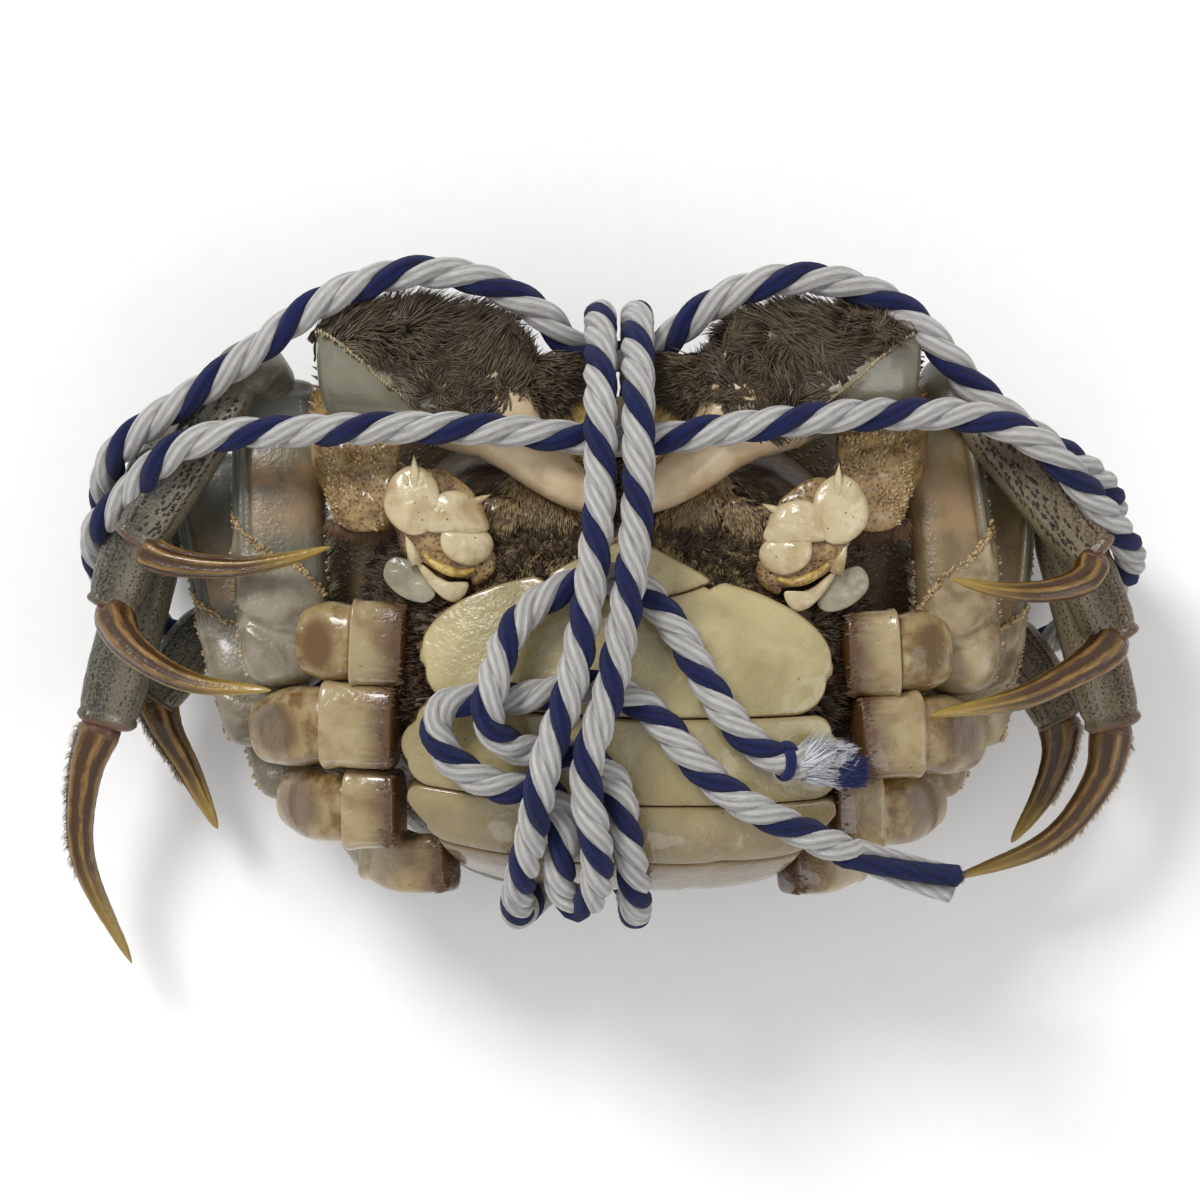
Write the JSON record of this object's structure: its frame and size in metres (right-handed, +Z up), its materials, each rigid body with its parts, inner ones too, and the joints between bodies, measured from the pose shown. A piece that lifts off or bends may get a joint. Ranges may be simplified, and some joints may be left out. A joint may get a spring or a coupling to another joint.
{
  "type": "hairy crab",
  "caption": "Life-size hairy crab on its back, belly flap and furred claws upward, legs folded in and tied round the body with a twisted rope.",
  "frame": {"origin": "on the floor, under the middle of the crab and its bindings without the loose rope tails", "axes": "+X along the crab's width, +Y towards its head end, +Z up, out of the belly"},
  "size_m": [0.1234, 0.0796, 0.0507],
  "materials": {
    "back_shell": "satin",
    "belly_shell": "gloss",
    "limb_shell": "satin",
    "claw_shell": "gloss",
    "horn": "gloss",
    "eye": "gloss",
    "bristle": "matte",
    "rope": "matte"
  },
  "bodies": {
    "root": {"carapace": "back_shell", "thorax": "belly_shell", "abdomen_telson": "belly_shell", "abdomen_segment_6": "belly_shell", "abdomen_segment_5": "belly_shell", "abdomen_segment_4": "belly_shell", "abdomen_segments_1_3": "belly_shell", "eye_left": "eye", "antenna_left": "limb_shell", "claw_left_base": "claw_shell", "claw_left_arm": "claw_shell", "claw_left_palm": "claw_shell", "claw_left_thumb": "claw_shell", "eye_right": "eye", "antenna_right": "limb_shell", "claw_right_base": "claw_shell", "claw_right_arm": "claw_shell", "claw_right_palm": "claw_shell", "claw_right_thumb": "claw_shell", "mouthparts": "claw_shell", "leg_left_1_base": "belly_shell", "leg_left_1_merus": "limb_shell", "leg_left_1_shank": "limb_shell", "leg_left_1_dactyl": "horn", "leg_left_2_base": "belly_shell", "leg_left_2_merus": "limb_shell", "leg_left_2_shank": "limb_shell", "leg_left_2_dactyl": "horn", "leg_left_3_base": "belly_shell", "leg_left_3_merus": "limb_shell", "leg_left_3_shank": "limb_shell", "leg_left_3_dactyl": "horn", "leg_left_4_base": "belly_shell", "leg_left_4_merus": "limb_shell", "leg_left_4_shank": "limb_shell", "leg_left_4_dactyl": "horn", "leg_right_1_base": "belly_shell", "leg_right_1_merus": "limb_shell", "leg_right_1_shank": "limb_shell", "leg_right_1_dactyl": "horn", "leg_right_2_base": "belly_shell", "leg_right_2_merus": "limb_shell", "leg_right_2_shank": "limb_shell", "leg_right_2_dactyl": "horn", "leg_right_3_base": "belly_shell", "leg_right_3_merus": "limb_shell", "leg_right_3_shank": "limb_shell", "leg_right_3_dactyl": "horn", "leg_right_4_base": "belly_shell", "leg_right_4_merus": "limb_shell", "leg_right_4_shank": "limb_shell", "leg_right_4_dactyl": "horn", "rope_wrap_front": "rope", "rope_wrap_middle": "rope", "rope_under_front": "rope", "rope_under_rear": "rope", "rope_turn_left": "rope", "rope_turn_right": "rope", "rope_tail_short": "rope", "rope_tail_long": "rope"}
  },
  "joints": []
}
